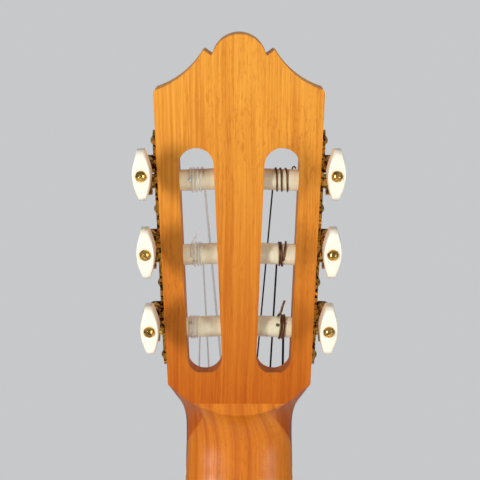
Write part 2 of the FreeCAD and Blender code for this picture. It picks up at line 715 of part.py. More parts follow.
def make_gear():
    """A straight-toothed wheel on its spindle, and the screw that holds it."""
    tooth = [(GEAR_ROOT_R, 0.46), (GEAR_TIP_R, 0.24)]
    points = []
    for i in range(TEETH):
        a = 2 * math.pi * i / TEETH
        for radius, half in (tooth[0], tooth[1]):
            b = a - half / radius
            points.append(V(0, radius * math.cos(b), radius * math.sin(b)))
        for radius, half in (tooth[1], tooth[0]):
            b = a + half / radius
            points.append(V(0, radius * math.cos(b), radius * math.sin(b)))
    wheel = filled(polygon(points), V(2 * GEAR_HALF, 0, 0))
    wheel.translate(V(WORM_OUT - GEAR_HALF, 0, 0))
    spindle = rod(V(-7, 0, 0), V(WORM_OUT - GEAR_HALF, 0, 0), SPINDLE_R)
    shoulder = rod(V(PLATE + 0.25, 0, 0), V(WORM_OUT - GEAR_HALF, 0, 0), 3.4)
    bore = rod(V(1, 0, 0), V(20, 0, 0), 1.0)
    gear = wheel.fuse([spindle, shoulder]).removeSplitter().cut(bore)
    face = WORM_OUT + GEAR_HALF
    screw = rod(V(1, 0, 0), V(face, 0, 0), 1.0).fuse(rod(V(face, 0, 0), V(face + 1.3, 0, 0), 2.5))
    screw = screw.removeSplitter()
    rim = [e for e in screw.Edges if e.BoundBox.XMin > face + 1.29]
    screw = screw.makeFillet(0.6, rim)
    screw = screw.cut(box(face + 0.7, face + 2, -0.35, 0.35, -4, 4))
    return gear, screw


def make_worm_thread():
    """Four turns of a right-handed thread, with a gap facing the wheel's middle tooth."""
    turns = 4
    helix = Part.makeHelix(WORM_PITCH, turns * WORM_PITCH, WORM_CORE_R)
    root, half_root, half_crest = WORM_CORE_R - 0.25, 0.5, 0.2
    profile = Part.Wire(polygon([
        V(root, 0, -half_root), V(WORM_TIP_R, 0, -half_crest),
        V(WORM_TIP_R, 0, half_crest), V(root, 0, half_root),
    ]))
    thread = Part.Wire(helix.Edges).makePipeShell([profile], True, True)
    thread.rotate(V(0, 0, 0), V(0, 0, 1), 90)
    thread.translate(V(0, 0, -turns / 2 * WORM_PITCH))
    return thread


def make_worm_shaft():
    """Helical worm, journals and the shaft that carries the button, and the button's cap screw."""
    core = rod(V(0, 0, -WORM_HALF), V(0, 0, WORM_HALF), WORM_CORE_R)
    front_end = -EAR_INNER - EAR_THICKNESS
    journals = rod(V(0, 0, front_end - 0.6), V(0, 0, EAR_INNER + EAR_THICKNESS + 0.4), JOURNAL_R)
    rear = EAR_INNER + EAR_THICKNESS + 0.2
    stem = rod(V(0, 0, rear), V(0, 0, BUTTON_START), SHAFT_R)
    collar = rod(V(0, 0, BUTTON_START - 2.2), V(0, 0, BUTTON_START), 3.1)
    post = rod(V(0, 0, BUTTON_START), V(0, 0, BUTTON_END - 4), JOURNAL_R)
    shaft = core.multiFuse([make_worm_thread(), journals, stem, collar, post]).removeSplitter()
    head = Part.makeSphere(2.7, V(0, 0, BUTTON_END - 0.7))
    head = head.common(box(-5, 5, -5, 5, BUTTON_END, BUTTON_END + 9))
    cap = head.fuse(rod(V(0, 0, BUTTON_END - 4), V(0, 0, BUTTON_END), 1.2)).removeSplitter()
    slot = box(-4, 4, -0.3, 0.3, BUTTON_END + 1.2, BUTTON_END + 9)
    slot.rotate(V(0, 0, 0), V(0, 0, 1), 38)
    cap = cap.cut(slot)
    for solid in (shaft, cap):
        solid.translate(V(WORM_OUT, WORM_UP, 0))
    return shaft, cap


def make_button():
    """A lens-shaped key: flat cut ends, bulging sides, narrower at its foot."""
    length, width, flat = BUTTON_HALF_LENGTH, BUTTON_HALF_WIDTH, BUTTON_FLAT
    z0, z1 = BUTTON_START, BUTTON_END
    lens = filled([
        arc(V(-flat, -length, z0), V(-width, 0, z0), V(-flat, length, z0)),
        line(V(-flat, length, z0), V(flat, length, z0)),
        arc(V(flat, length, z0), V(width, 0, z0), V(flat, -length, z0)),
        line(V(flat, -length, z0), V(-flat, -length, z0)),
    ], V(0, 0, z1 - z0))
    base = BUTTON_BASE
    knee = z0 + 6.0
    profile = filled([
        line(V(-9, -base, z0), V(-9, base, z0)),
        arc(V(-9, base, z0), V(-9, length - 0.9, z0 + 3.0), V(-9, length + 0.2, knee)),
        line(V(-9, length + 0.2, knee), V(-9, length + 0.2, z1 - 4)),
        arc(V(-9, length + 0.2, z1 - 4), V(-9, length - 0.7, z1 - 1.0), V(-9, length - 3.6, z1)),
        line(V(-9, length - 3.6, z1), V(-9, 3.6 - length, z1)),
        arc(V(-9, 3.6 - length, z1), V(-9, 0.7 - length, z1 - 1.0), V(-9, -length - 0.2, z1 - 4)),
        line(V(-9, -length - 0.2, z1 - 4), V(-9, -length - 0.2, knee)),
        arc(V(-9, -length - 0.2, knee), V(-9, 0.9 - length, z0 + 3.0), V(-9, -base, z0)),
    ], V(18, 0, 0))
    button = lens.common(profile)
    button = button.makeFillet(BUTTON_EDGE, button.Edges)
    button = button.cut(rod(V(0, 0, z0 - 1), V(0, 0, z1 - 4), JOURNAL_R))
    button = button.cut(rod(V(0, 0, z1 - 4), V(0, 0, z1 + 1), 1.2))
    button.translate(V(WORM_OUT, WORM_UP, 0))
    return button


def make_tuner_plate():
    """One long plate with bearing ears for its three worms."""
    half = PLATE_HALF_WIDTH
    low, high = -MACHINE_PITCH - PLATE_BELOW, MACHINE_PITCH + PLATE_ABOVE
    cheek = 4.0
    outline = [
        line(V(0, low + cheek, -half), V(0, high - cheek, -half)),
        arc(V(0, high - cheek, -half), V(0, high, 0), V(0, high - cheek, half)),
        line(V(0, high - cheek, half), V(0, low + cheek, half)),
        arc(V(0, low + cheek, half), V(0, low, 0), V(0, low + cheek, -half)),
    ]
    plate = filled(outline, V(PLATE, 0, 0))
    parts = [plate]
    for row in (-1, 0, 1):
        y = row * MACHINE_PITCH + WORM_UP
        for z0 in (EAR_INNER, -EAR_INNER - EAR_THICKNESS):
            ear = box(0, WORM_OUT, y - 2.9, y + 2.9, z0, z0 + EAR_THICKNESS)
            round_end = rod(V(WORM_OUT, y, z0), V(WORM_OUT, y, z0 + EAR_THICKNESS), 2.9)
            parts.append(ear.fuse(round_end))
    plate = fuse(parts)
    holes = []
    for row in (-1, 0, 1):
        y = row * MACHINE_PITCH
        holes.append(rod(V(-1, y, 0), V(3, y, 0), SPINDLE_R + JOURNAL_CLEARANCE))
        holes.append(rod(V(WORM_OUT, y + WORM_UP, -20), V(WORM_OUT, y + WORM_UP, 20),
                         JOURNAL_R + JOURNAL_CLEARANCE))
    for y in screw_heights():
        holes.append(rod(V(-1, y, 0), V(3, y, 0), PLATE_SCREW_R))
    return plate.cut(Part.makeCompound(holes))


def make_plate_screw(y):
    """A small round-headed wood screw through the plate."""
    head = Part.makeSphere(2.6, V(PLATE - 1.2, y, 0)).common(box(PLATE, 9, y - 5, y + 5, -5, 5))
    screw = head.fuse(rod(V(-8, y, 0), V(PLATE, y, 0), PLATE_SCREW_R)).removeSplitter()
    return screw.cut(box(PLATE + 0.8, 9, y - 5, y + 5, -0.3, 0.3))


def arrival_x(string):
    """Where the string's arriving edge touches its roller, in the machine's frame."""
    return string[4] - side_x(MACHINE_V)


def winding_span(string):
    """Both ends of a winding along its roller, in the machine's frame."""
    diameter, turns = string[1], string[5]
    first = arrival_x(string) + math.copysign(diameter, turns)
    return sorted((first, first + diameter * turns))


def make_winding(string):
    """The string's turns round its roller, as one close sleeve."""
    diameter = string[1]
    x0, x1 = winding_span(string)
    outer = rod(V(x0, 0, 0), V(x1, 0, 0), ROLLER_R + diameter)
    return outer.cut(rod(V(x0 - 1, 0, 0), V(x1 + 1, 0, 0), ROLLER_R))


# --- strings ----------------------------------------------------------------------------------
def string_route(index, string):
    """Points of a string's centre line from its roller to the loop on the bridge's tie block."""
    _, diameter, side, row, _, turns, _ = string
    order = index - 2.5
    nut_x = order * NUT_SPREAD / 5
    saddle_x = order * SADDLE_SPREAD / 5
    r = diameter / 2
    leave_x = arrival_x(string) + math.copysign(r - 0.1, turns)
    # the roller's front faces -z in the machine's frame
    leave = machine_point(leave_x, -0.5, -(ROLLER_R + r + WINDING_GAP), side, row)
    rear = SADDLE_Z - BRIDGE_REAR
    lift = BRIDGE_HEIGHT + r + 0.1
    return {
        "saddle_x": saddle_x,
        "points": [
            leave,
            V(nut_x, NUT_TOP, -0.6),
            V(nut_x, NUT_TOP + 0.2, NUT_FACE_Z),
            V(saddle_x, SADDLE_TOP, SADDLE_Z),
            V(saddle_x, TIE_HOLE_Y, SADDLE_Z - 6.6),
            V(saddle_x, TIE_HOLE_Y, rear - 1.2),
            V(saddle_x + 1.0, lift, SADDLE_Z - TIE_REAR - 1.0),
            V(saddle_x + 1.6, lift, SADDLE_Z - TIE_FRONT - 1.0),
        ],
    }


def make_string(route, diameter):
    """Straight runs with a round joint at each turn."""
    points = route["points"]
    pieces = [rod(a, b, diameter / 2) for a, b in zip(points, points[1:])]
    pieces += [Part.makeSphere(diameter / 2, p) for p in points[1:-1]]
    return fuse(pieces)


# --- the whole guitar -------------------------------------------------------------------------
def build_strings():
    routes = [string_route(i, s) for i, s in enumerate(STRINGS)]
    solids = [make_string(r, s[1]) for r, s in zip(routes, STRINGS)]
    save("strings_treble", *solids[:3])
    save("strings_bass", *solids[3:])
    return routes, solids


def build_neck(strings):
    head, veneer, shaft = head_and_neck()
    save("headstock", head)
    save("headstock_veneer", veneer)
    save("neck_shaft", shaft)
    save("heel_cap", make_heel_cap())
    save("fingerboard", make_fingerboard())
    frets = [make_fret(n) for n in range(1, FRET_COUNT + 1)]
    save("frets", *[s for f in frets for s in f.Solids])
    save("nut", make_nut(strings))


def build_body(routes, strings):
    save("soundboard_bass", make_soundboard(1))
    save("soundboard_treble", make_soundboard(-1))
    save("rosette", rosette_ring())
    save("bindings", *make_bindings())
    save("side_bass", make_side(1))
    save("side_treble", make_side(-1))
    save("linings", *make_linings())
    save("neck_block", make_block(JOINT_Z - 34, JOINT_Z + 10))
    save("tail_block", make_block(JOINT_Z - BODY_LENGTH - 10, JOINT_Z - BODY_LENGTH + 18))
    save("back_bass", make_back(1))
    save("back_treble", make_back(-1))
    save("back_strip", make_back_strip())
    save("soundboard_braces", *make_soundboard_braces())
    save("bridge_patch", *make_bridge_patch().Solids)
    save("back_braces", *make_back_braces())
    save("bridge", make_bridge(routes))
    save("saddle", make_saddle(strings))


def build_machines():
    plate = make_tuner_plate()
    save("tuner_plate_bass", machine(plate, 1, 1))
    save("tuner_plate_treble", machine(plate, -1, 1))
    screws = [machine(make_plate_screw(y), side, 1) for side in (1, -1) for y in screw_heights()]
    save("plate_screws", *screws)
    shaft, cap = make_worm_shaft()
    button = make_button()
    gear, gear_screw = make_gear()
    for string in STRINGS:
        name, side, row = string[0], string[2], string[3]
        save(f"roller_{name}", machine(make_roller(string), side, row))
        save(f"gear_{name}", machine(gear, side, row), machine(gear_screw, side, row))
        save(f"winding_{name}", machine(make_winding(string), side, row))
        save(f"worm_shaft_{name}", machine(shaft, side, row), machine(cap, side, row))
        save(f"button_{name}", machine(button, side, row))


def main():
    os.makedirs("parts", exist_ok=True)
    routes, strings = build_strings()
    build_neck(strings)
    build_body(routes, strings)
    build_machines()


main()
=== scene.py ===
import json
import math

import bmesh
import bpy
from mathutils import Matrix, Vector


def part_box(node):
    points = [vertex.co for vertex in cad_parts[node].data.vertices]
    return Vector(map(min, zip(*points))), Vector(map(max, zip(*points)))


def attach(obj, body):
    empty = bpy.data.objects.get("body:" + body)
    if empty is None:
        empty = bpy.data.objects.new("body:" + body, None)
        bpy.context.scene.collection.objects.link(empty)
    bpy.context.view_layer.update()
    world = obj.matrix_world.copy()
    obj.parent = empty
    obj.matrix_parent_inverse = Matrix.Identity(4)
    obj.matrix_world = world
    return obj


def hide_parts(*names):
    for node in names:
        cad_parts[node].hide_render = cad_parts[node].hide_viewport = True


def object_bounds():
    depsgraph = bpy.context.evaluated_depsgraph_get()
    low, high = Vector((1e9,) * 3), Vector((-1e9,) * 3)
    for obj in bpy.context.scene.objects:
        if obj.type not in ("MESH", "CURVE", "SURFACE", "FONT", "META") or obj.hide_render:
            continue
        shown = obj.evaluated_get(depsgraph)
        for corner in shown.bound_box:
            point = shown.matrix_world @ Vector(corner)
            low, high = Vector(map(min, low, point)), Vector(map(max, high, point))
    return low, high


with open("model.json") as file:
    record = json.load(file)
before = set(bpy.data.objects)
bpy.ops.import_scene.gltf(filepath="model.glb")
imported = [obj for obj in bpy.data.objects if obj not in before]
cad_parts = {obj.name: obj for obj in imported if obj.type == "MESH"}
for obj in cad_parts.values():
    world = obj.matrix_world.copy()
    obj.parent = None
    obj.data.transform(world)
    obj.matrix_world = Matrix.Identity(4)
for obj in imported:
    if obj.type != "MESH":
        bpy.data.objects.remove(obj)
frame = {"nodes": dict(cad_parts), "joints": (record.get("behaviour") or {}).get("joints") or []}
CAD_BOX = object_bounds()
JOINTS = {j["name"]: j for j in frame["joints"]}
NODES = frame["nodes"]
MM = 0.001
HEAD_TILT = math.radians(12.0)
ROSETTE_IN, ROSETTE_OUT = 0.046, 0.0575   # radii of the inlaid band, metres

# Millimetres, as in the CAD parts. The button's height runs along its worm shaft.
ROLLER_R = 4.9
BUTTON_START, BUTTON_END = 21.0, 36.0
BUTTON_HALF_LENGTH, BUTTON_HALF_WIDTH = 11.1, 4.0
BUTTON_FLAT = 1.6          # half width of its cut ends
BUTTON_EDGE = 0.8          # radius of its rounded edges
BUTTON_FOOT_HALF = 6.6     # half length where it meets its shaft
BUTTON_FOOT_HEIGHT = 6.0   # it widens to its full length over this height
BUTTON_CROWN_DROP, BUTTON_CROWN_HEIGHT = 3.4, 4.0   # and its ends draw in again by this much near the top
THINNEST_FLAT = 0.35
STRING_GAP = 0.02          # between a string's turns and its roller


# --- node helpers -----------------------------------------------------------------------------
class Shader:
    """A thin wrapper round one material's node tree."""

    def __init__(self, name):
        self.material = bpy.data.materials.new(name)
        self.material.use_nodes = True
        self.tree = self.material.node_tree
        self.bsdf = self.tree.nodes["Principled BSDF"]
        self.coords = self.tree.nodes.new("ShaderNodeTexCoord").outputs["Object"]

    def node(self, kind, **settings):
        made = self.tree.nodes.new(kind)
        for key, value in settings.items():
            setattr(made, key, value)
        return made

    def link(self, source, target):
        if isinstance(source, (int, float)):
            target.default_value = source
        else:
            self.tree.links.new(source, target)

    def set(self, **values):
        names = {"rough": "Roughness", "metal": "Metallic", "coat": "Coat Weight",
                 "coat_rough": "Coat Roughness", "spec": "Specular IOR Level",
                 "subsurface": "Subsurface Weight", "alpha": "Alpha"}
        for key, value in values.items():
            self.bsdf.inputs[names[key]].default_value = value

    def mapped(self, scale=(1, 1, 1), rotation=(0, 0, 0)):
        m = self.node("ShaderNodeMapping")
        m.inputs["Scale"].default_value = scale
        m.inputs["Rotation"].default_value = rotation
        self.link(self.coords, m.inputs["Vector"])
        return m.outputs["Vector"]

    def noise(self, vector, scale, detail=3.0, rough=0.5, distort=0.0):
        n = self.node("ShaderNodeTexNoise")
        self.link(vector, n.inputs["Vector"])
        n.inputs["Scale"].default_value = scale
        n.inputs["Detail"].default_value = detail
        n.inputs["Roughness"].default_value = rough
        n.inputs["Distortion"].default_value = distort
        return n.outputs["Fac"]

    def math(self, operation, a, b=0.0, clamp=False):
        m = self.node("ShaderNodeMath", operation=operation, use_clamp=clamp)
        self.link(a, m.inputs[0])
        self.link(b, m.inputs[1])
        return m.outputs[0]

    def remap(self, value, low, high, to_low, to_high):
        m = self.node("ShaderNodeMapRange")
        self.link(value, m.inputs["Value"])
        for key, number in (("From Min", low), ("From Max", high), ("To Min", to_low), ("To Max", to_high)):
            m.inputs[key].default_value = number
        return m.outputs["Result"]

    def ramp(self, value, stops, constant=False):
        r = self.node("ShaderNodeValToRGB")
        self.link(value, r.inputs["Fac"])
        band = r.color_ramp
        band.interpolation = "CONSTANT" if constant else "LINEAR"
        while len(band.elements) < len(stops):
            band.elements.new(0.5)
        for element, (position, colour) in zip(band.elements, stops):
            element.position = position
            element.color = (*colour, 1.0)
        return r.outputs["Color"]

    def mix(self, factor, a, b, mode="MIX"):
        m = self.node("ShaderNodeMix", data_type="RGBA", blend_type=mode)
        self.link(factor, m.inputs["Factor"])
        for source, target in ((a, m.inputs["A"]), (b, m.inputs["B"])):
            if isinstance(source, tuple):
                target.default_value = (*source, 1.0)
            else:
                self.link(source, target)
        return m.outputs["Result"]

    def combine(self, x=0.0, y=0.0, z=0.0):
        c = self.node("ShaderNodeCombineXYZ")
        for value, target in zip((x, y, z), c.inputs):
            self.link(value, target)
        return c.outputs["Vector"]

    def split(self, vector):
        s = self.node("ShaderNodeSeparateXYZ")
        self.link(vector, s.inputs["Vector"])
        return s.outputs["X"], s.outputs["Y"], s.outputs["Z"]

    def colour(self, source):
        self.link(source, self.bsdf.inputs["Base Color"])

    def roughness(self, source):
        self.link(source, self.bsdf.inputs["Roughness"])

    def bump(self, height, strength, distance):
        b = self.node("ShaderNodeBump")
        b.inputs["Strength"].default_value = strength
        b.inputs["Distance"].default_value = distance
        self.link(height, b.inputs["Height"])
        self.link(b.outputs["Normal"], self.bsdf.inputs["Normal"])


def srgb(r, g, b):
    """A colour given as 0 to 255 in display space, as the linear values that shaders use."""
    def linear(v):
        v /= 255.0
        return v / 12.92 if v <= 0.04045 else ((v + 0.055) / 1.055) ** 2.4
    return linear(r), linear(g), linear(b)


# --- wood -------------------------------------------------------------------------------------
def wood(name, middle, *, low_tone=None, tone_span=(0.0, 0.2), tilt=0.0,
         ring_centre=(-0.14, 0.07), ring_gap=0.007, ring_strength=0.3,
         pores=0.5, fleck=0.3, speckle=0.0, mirror=False,
         rough=0.42, coat=0.12, coat_rough=0.3, spec=0.4):
    """Solid wood: growth rings about an axis beside the piece, fibres, flecks, pores and a thin lacquer.

    From `low_tone` at the bottom of `tone_span` the colour climbs to `middle` at its top; on the head this
    is partly the wood's own tone and partly painted shade, darker low down where less light falls. `mirror`
    matches the grain of the left half to the right half's."""
    s = Shader(name)
    x, y, z = s.split(s.mapped(rotation=(-tilt, 0, 0)) if tilt else s.coords)
    if mirror:
        x = s.math("ABSOLUTE", x)
    height = s.split(s.coords)[2]
    # tone: darker towards the bottom of tone_span, partly the wood's own tone and partly painted shade
    tone = s.mix(s.remap(height, *tone_span, 0.0, 1.0), low_tone or middle, middle)
    dark = s.mix(1.0, tone, (0.66, 0.44, 0.28), "MULTIPLY")
    light = s.mix(1.0, tone, (1.12, 1.22, 1.3), "MULTIPLY")
    # the grain wanders a little along the piece
    shrunk = [s.math("MULTIPLY", value, scale) for value, scale in ((x, 14.0), (y, 14.0), (z, 5.0))]
    slow = s.noise(s.combine(*shrunk), 1.0, 2.0)
    wander = s.math("MULTIPLY", s.math("SUBTRACT", slow, 0.5), 0.012)
    rx = s.math("ADD", s.math("ADD", x, ring_centre[0]), wander)
    ry = s.math("ADD", y, ring_centre[1])
    radius = s.math("SQRT", s.math("ADD", s.math("MULTIPLY", rx, rx), s.math("MULTIPLY", ry, ry)))
    along = s.math("MULTIPLY", z, 0.02)
    # fine streaks, about a millimetre wide, and broad ones of several millimetres
    fine = s.noise(s.combine(radius, 0.0, along), 800.0, 4.0, 0.65)
    broad = s.noise(s.combine(radius, 0.4, along), 190.0, 2.0, 0.5)
    base = s.mix(s.remap(fine, 0.43, 0.57, 0.0, 0.5), tone, dark)
    base = s.mix(s.remap(broad, 0.45, 0.66, 0.0, 0.4), base, light)
    base = s.mix(s.remap(broad, 0.48, 0.30, 0.0, 0.22), base, dark)
    bright = s.noise(s.combine(radius, 0.9, along), 520.0, 2.0, 0.5)
    base = s.mix(s.remap(bright, 0.58, 0.68, 0.0, 0.5), base, light)
    # late wood: one narrow dark line to each ring
    uneven = s.noise(s.combine(radius, 0.7, along), 0.4 / ring_gap, 1.0)
    turn = s.math("FRACT", s.math("ADD", s.math("DIVIDE", radius, ring_gap), s.math("MULTIPLY", uneven, 1.6)))
    line = s.math("MULTIPLY", s.remap(turn, 0.55, 0.95, 0.0, 1.0), s.remap(turn, 1.0, 0.95, 0.0, 1.0))
    base = s.mix(s.math("MULTIPLY", line, ring_strength), base, dark)
    # short flecks that lean a little across the grain, in patches
    lean = s.mapped(rotation=(0, 0.12, 0), scale=(1.0, 1.0, 0.16))
    flecks = s.remap(s.noise(lean, 900.0, 2.0, 0.6), 0.52, 0.66, 0.0, 1.0)
    where = s.remap(s.noise(s.coords, 22.0, 2.0), 0.42, 0.62, 0.15, 1.0)
    base = s.mix(s.math("MULTIPLY", s.math("MULTIPLY", flecks, where), fleck), base, dark)
    if speckle:
        dots = s.remap(s.noise(s.coords, 1300.0, 2.0, 0.6), 0.55, 0.68, 0.0, speckle)
        base = s.mix(dots, base, dark)
    dashes = s.noise(s.combine(x, y, s.math("MULTIPLY", z, 0.06)), 1700.0, 2.0, 0.5)
    pore = s.remap(dashes, 0.63, 0.72, 0.0, pores)
    base = s.mix(pore, base, s.mix(1.0, dark, (0.5, 0.42, 0.4), "MULTIPLY"))
    s.colour(base)
    s.roughness(s.remap(s.math("ADD", fine, pore), 0.3, 1.2, rough - 0.05, rough + 0.14))
    s.bump(s.math("SUBTRACT", s.math("MULTIPLY", fine, 0.35), pore), 0.2, 0.0001)
    s.set(coat=coat, coat_rough=coat_rough, spec=spec)
    return s.material


def top_wood():
    """Quarter-sawn soundboard: fine even annual lines, book-matched at the centre joint."""
    s = Shader("cedar_top")
    x, y, z = s.split(s.coords)
    x = s.math("ABSOLUTE", x)
    drift = s.noise(s.combine(s.math("MULTIPLY", x, 4.0), 0.0, s.math("MULTIPLY", z, 2.0)), 1.0, 2.0)
    across = s.math("ADD", x, s.math("MULTIPLY", s.math("SUBTRACT", drift, 0.5), 0.01))
    lines = s.noise(s.combine(across, 0.0, s.math("MULTIPLY", z, 0.003)), 900.0, 3.0, 0.55)
    broad = s.noise(s.combine(across, 0.0, s.math("MULTIPLY", z, 0.01)), 70.0, 2.0)
    silk = s.noise(s.combine(s.math("MULTIPLY", x, 0.6), y, s.math("MULTIPLY", z, 0.6)), 60.0, 3.0)
    base = s.ramp(lines, [(0.36, srgb(186, 122, 62)), (0.5, srgb(222, 166, 98)), (0.64, srgb(236, 190, 122))])
    base = s.mix(s.remap(broad, 0.35, 0.65, 0.0, 0.3), base, srgb(204, 140, 76))
    base = s.mix(s.remap(silk, 0.4, 0.7, 0.0, 0.25), base, srgb(246, 206, 140))
    s.colour(base)
    s.roughness(s.remap(lines, 0.3, 0.7, 0.2, 0.3))
    s.bump(lines, 0.12, 0.00008)
    s.set(coat=0.6, coat_rough=0.1)
    return s.material


def rosette_inlay():
    """Rings of dark and pale veneer round a chequered band, by distance and angle about the hole."""
    low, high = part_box("rosette")
    centre = (low + high) / 2
    s = Shader("rosette_inlay")
    x, y, z = s.split(s.coords)
    dx = s.math("SUBTRACT", x, centre.x)
    dz = s.math("SUBTRACT", z, centre.z)
    radius = s.math("SQRT", s.math("ADD", s.math("MULTIPLY", dx, dx), s.math("MULTIPLY", dz, dz)))
    turn = s.math("DIVIDE", s.math("ARCTAN2", dz, dx), 2 * math.pi)
    along = s.remap(radius, ROSETTE_IN, ROSETTE_OUT, 0.0, 1.0)
    black, white, red = srgb(26, 18, 14), srgb(226, 200, 150), srgb(120, 48, 24)
    green = srgb(66, 78, 48)
    rings = s.ramp(along, [(0.0, black), (0.06, white), (0.10, black), (0.14, red), (0.20, black),
                           (0.24, white), (0.28, black), (0.72, white), (0.76, black), (0.80, red),
                           (0.86, black), (0.90, white), (0.94, black)], constant=True)
    tiles_round, tiles_across = 132, 11.0
    step = s.math("FRACT", s.math("MULTIPLY", turn, tiles_round))
    row = s.math("FRACT", s.math("MULTIPLY", along, tiles_across))
    diamond = s.math("ADD", s.math("ABSOLUTE", s.math("SUBTRACT", step, 0.5)),
                     s.math("ABSOLUTE", s.math("SUBTRACT", row, 0.5)))
    tiles = s.ramp(diamond, [(0.0, white), (0.28, red), (0.5, green), (0.72, black)], constant=True)
    inside = s.math("MULTIPLY", s.math("GREATER_THAN", along, 0.30), s.math("LESS_THAN", along, 0.70))
    base = s.mix(inside, rings, tiles)
    grain = s.noise(s.coords, 1800.0, 2.0)
    base = s.mix(s.remap(grain, 0.3, 0.7, 0.2, 0.0), base, black, "MULTIPLY")
    s.colour(base)
    s.bump(diamond, 0.05, 0.00004)
    s.set(rough=0.24, coat=0.6, coat_rough=0.1)
    return s.material


# --- metal, plastic, bone ---------------------------------------------------------------------
def metal(name, base, tarnish, rough, scratch=0.12, tarnish_amount=0.35, scale=320.0):
    s = Shader(name)
    blot = s.noise(s.coords, scale, 4.0, 0.6)
    fine = s.noise(s.mapped((1, 1, 6)), 2400.0, 2.0)
    s.colour(s.mix(s.remap(blot, 0.45, 0.58, 0.0, tarnish_amount), base, tarnish))
    s.roughness(s.remap(s.math("ADD", blot, fine), 0.7, 1.4, rough * 0.8, rough * 1.6))
    s.bump(fine, scratch, 0.00003)
    s.set(metal=1.0)
    return s.material


def plastic(name, base, shade, rough, streak=0.25, coat=0.2, stretch=(1, 1, 1), bump=0.05):
    """Cream moulded plastic with a faint cloudy figure and fine handling marks."""
    s = Shader(name)
    cloud = s.noise(s.mapped(stretch), 160.0, 4.0, 0.6, 0.6)
    marks = s.noise(s.coords, 1900.0, 3.0, 0.6)
    s.colour(s.mix(s.remap(cloud, 0.35, 0.75, 0.0, streak), base, shade))
    s.roughness(s.remap(marks, 0.3, 0.7, rough * 0.85, rough * 1.3))
    s.bump(marks, bump, 0.00004)
    s.set(coat=coat, coat_rough=0.12, subsurface=0.06)
    s.bsdf.inputs["Subsurface Radius"].default_value = (0.004, 0.003, 0.002)
    return s.material


def wound_string(name, base, tarnish):
    """Tarnished wound string: fine ridges along it. Its darker copy on the straight strings is painted shade.
    """
    s = Shader(name)
    ridges = s.noise(s.coords, 5200.0, 1.0)
    blot = s.noise(s.coords, 420.0, 3.0)
    s.colour(s.mix(s.remap(blot, 0.35, 0.7, 0.0, 1.0), base, tarnish))
    s.roughness(s.remap(ridges, 0.3, 0.7, 0.34, 0.55))
    s.bump(ridges, 0.4, 0.00006)
    s.set(metal=0.75)
    return s.material


def nylon():
    s = Shader("clear_nylon")
    cloud = s.noise(s.coords, 700.0, 2.0)
    s.colour(s.mix(s.remap(cloud, 0.3, 0.7, 0.0, 1.0), srgb(240, 240, 234), srgb(222, 220, 212)))
    s.roughness(s.remap(cloud, 0.3, 0.7, 0.3, 0.42))
    s.set(alpha=0.35, spec=0.3)
    return s.material


def studio_floor():
    s = Shader("studio_floor")
    mottle = s.noise(s.coords, 1.6, 5.0, 0.6)
    s.colour(s.mix(s.remap(mottle, 0.3, 0.7, 0.0, 1.0), srgb(200, 200, 200), srgb(192, 192, 193)))
    s.roughness(s.remap(mottle, 0.3, 0.7, 0.75, 0.9))
    # the floor glows faintly: painted light that brightens it and lights the guitar from below
    s.bsdf.inputs["Emission Color"].default_value = (1.0, 1.0, 1.0, 1.0)
    s.bsdf.inputs["Emission Strength"].default_value = 0.22
    return s.material


def make_materials():
    m = {}
    # the head's low_tone, darker and redder at its foot, is partly painted shade standing in for light
    # falling off
    m["head_wood"] = wood("cedar_head", srgb(213, 144, 51), low_tone=srgb(168, 79, 7), tone_span=(0.02, 0.18),
                          tilt=HEAD_TILT, ring_centre=(-0.2, 0.02), ring_gap=0.0085, ring_strength=0.15,
                          pores=0.4, fleck=0.5, coat=0.0, spec=0.15)
    m["neck_wood"] = wood("cedar_neck", srgb(193, 109, 19), ring_centre=(-0.15, 0.075), ring_strength=0.6,
                          pores=0.35, speckle=0.35, coat=0.38, coat_rough=0.34, spec=0.15)
    m["veneer"] = wood("rosewood_veneer", srgb(84, 44, 30), tilt=HEAD_TILT, ring_gap=0.004, ring_strength=0.7,
                       pores=0.7, mirror=True, rough=0.3, coat=0.4, coat_rough=0.15)
    m["board"] = wood("dark_fingerboard", srgb(50, 34, 28), ring_gap=0.005, ring_strength=0.5, pores=0.8,
                      rough=0.46, coat=0.05)
    m["body"] = wood("rosewood_body", srgb(96, 46, 28), ring_centre=(0.04, 0.32), ring_gap=0.0075,
                     ring_strength=0.85, pores=0.6, rough=0.24, coat=0.5, coat_rough=0.16, mirror=True)
    m["binding"] = wood("dark_binding", srgb(44, 22, 15), ring_strength=0.2, rough=0.24, coat=0.6,
                        coat_rough=0.1)
    m["inner"] = wood("raw_lining", srgb(214, 178, 128), ring_gap=0.002, ring_strength=0.35, pores=0.1,
                      rough=0.6, coat=0.0)
    m["top"] = top_wood()
    m["rosette"] = rosette_inlay()
    m["gold"] = metal("gold_plate", srgb(240, 192, 104), srgb(60, 36, 16), 0.17, tarnish_amount=0.65)
    m["antique"] = metal("antique_gold", srgb(214, 150, 62), srgb(20, 12, 8), 0.2, tarnish_amount=1.0,
                         scale=620.0)
    m["steel"] = metal("fret_metal", srgb(206, 202, 192), srgb(140, 134, 120), 0.22)
    m["button"] = plastic("cream_button", srgb(227, 222, 204), srgb(218, 206, 176), 0.22, coat=0.3)
    m["roller"] = plastic("cream_roller", srgb(234, 228, 198), srgb(200, 186, 146), 0.4, streak=0.6,
                          stretch=(2.2, 0.4, 0.4), bump=0.15)
    m["bone"] = plastic("polished_bone", srgb(238, 230, 206), srgb(214, 198, 162), 0.3, stretch=(0.2, 1, 1))
    m["wound"] = wound_string("wound_turns", srgb(132, 92, 58), srgb(84, 54, 34))
    # a darker copy of the wound turns' material: painted shade for the straight bass strings, which lie in
    # shadow
    m["wound_shaded"] = wound_string("wound_string", srgb(56, 42, 34), srgb(32, 25, 22))
    m["nylon"] = nylon()
    m["floor"] = studio_floor()
    return m


